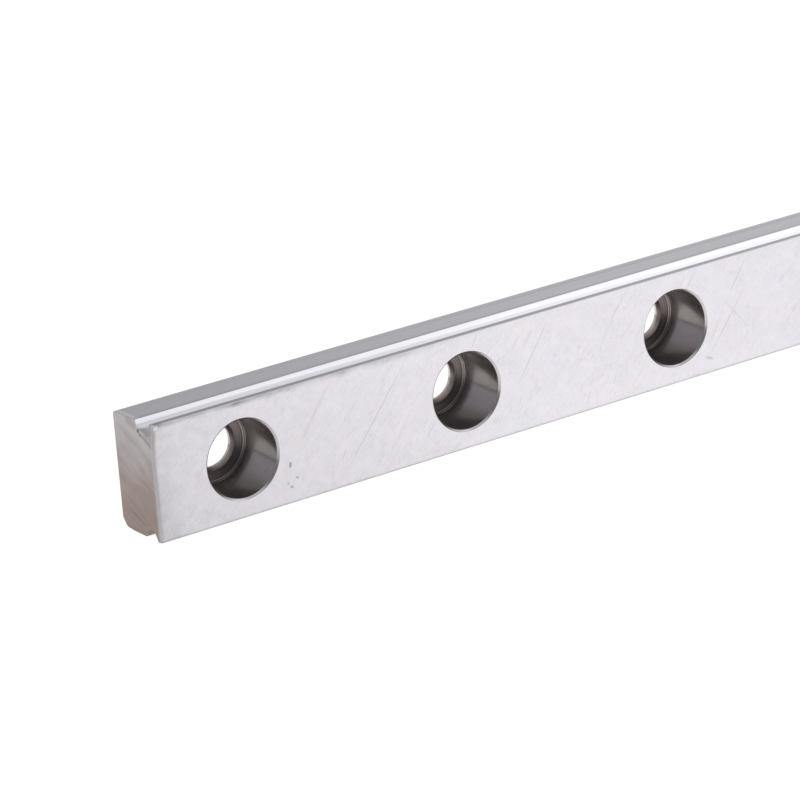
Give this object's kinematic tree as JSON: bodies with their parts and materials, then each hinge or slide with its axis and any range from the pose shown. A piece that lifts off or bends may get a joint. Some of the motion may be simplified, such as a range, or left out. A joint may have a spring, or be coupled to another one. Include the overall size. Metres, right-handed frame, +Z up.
{
  "type": "linear guide rail",
  "caption": "Straight steel guide rail, rectangular in section, with a ball raceway along each side and a row of counterbored screw holes for bolting it to a flat bed.",
  "frame": {"origin": "middle of the rail's length and height, on the side face that it lies on", "axes": "+X along the rail, +Y out of the mounting face (the hole face is at -Y), +Z up across the rail's width"},
  "size_m": [0.155, 0.0054, 0.009],
  "materials": {
    "rail_steel": "ground, satin"
  },
  "bodies": {
    "root": {"guide_rail": "rail_steel"}
  },
  "joints": []
}
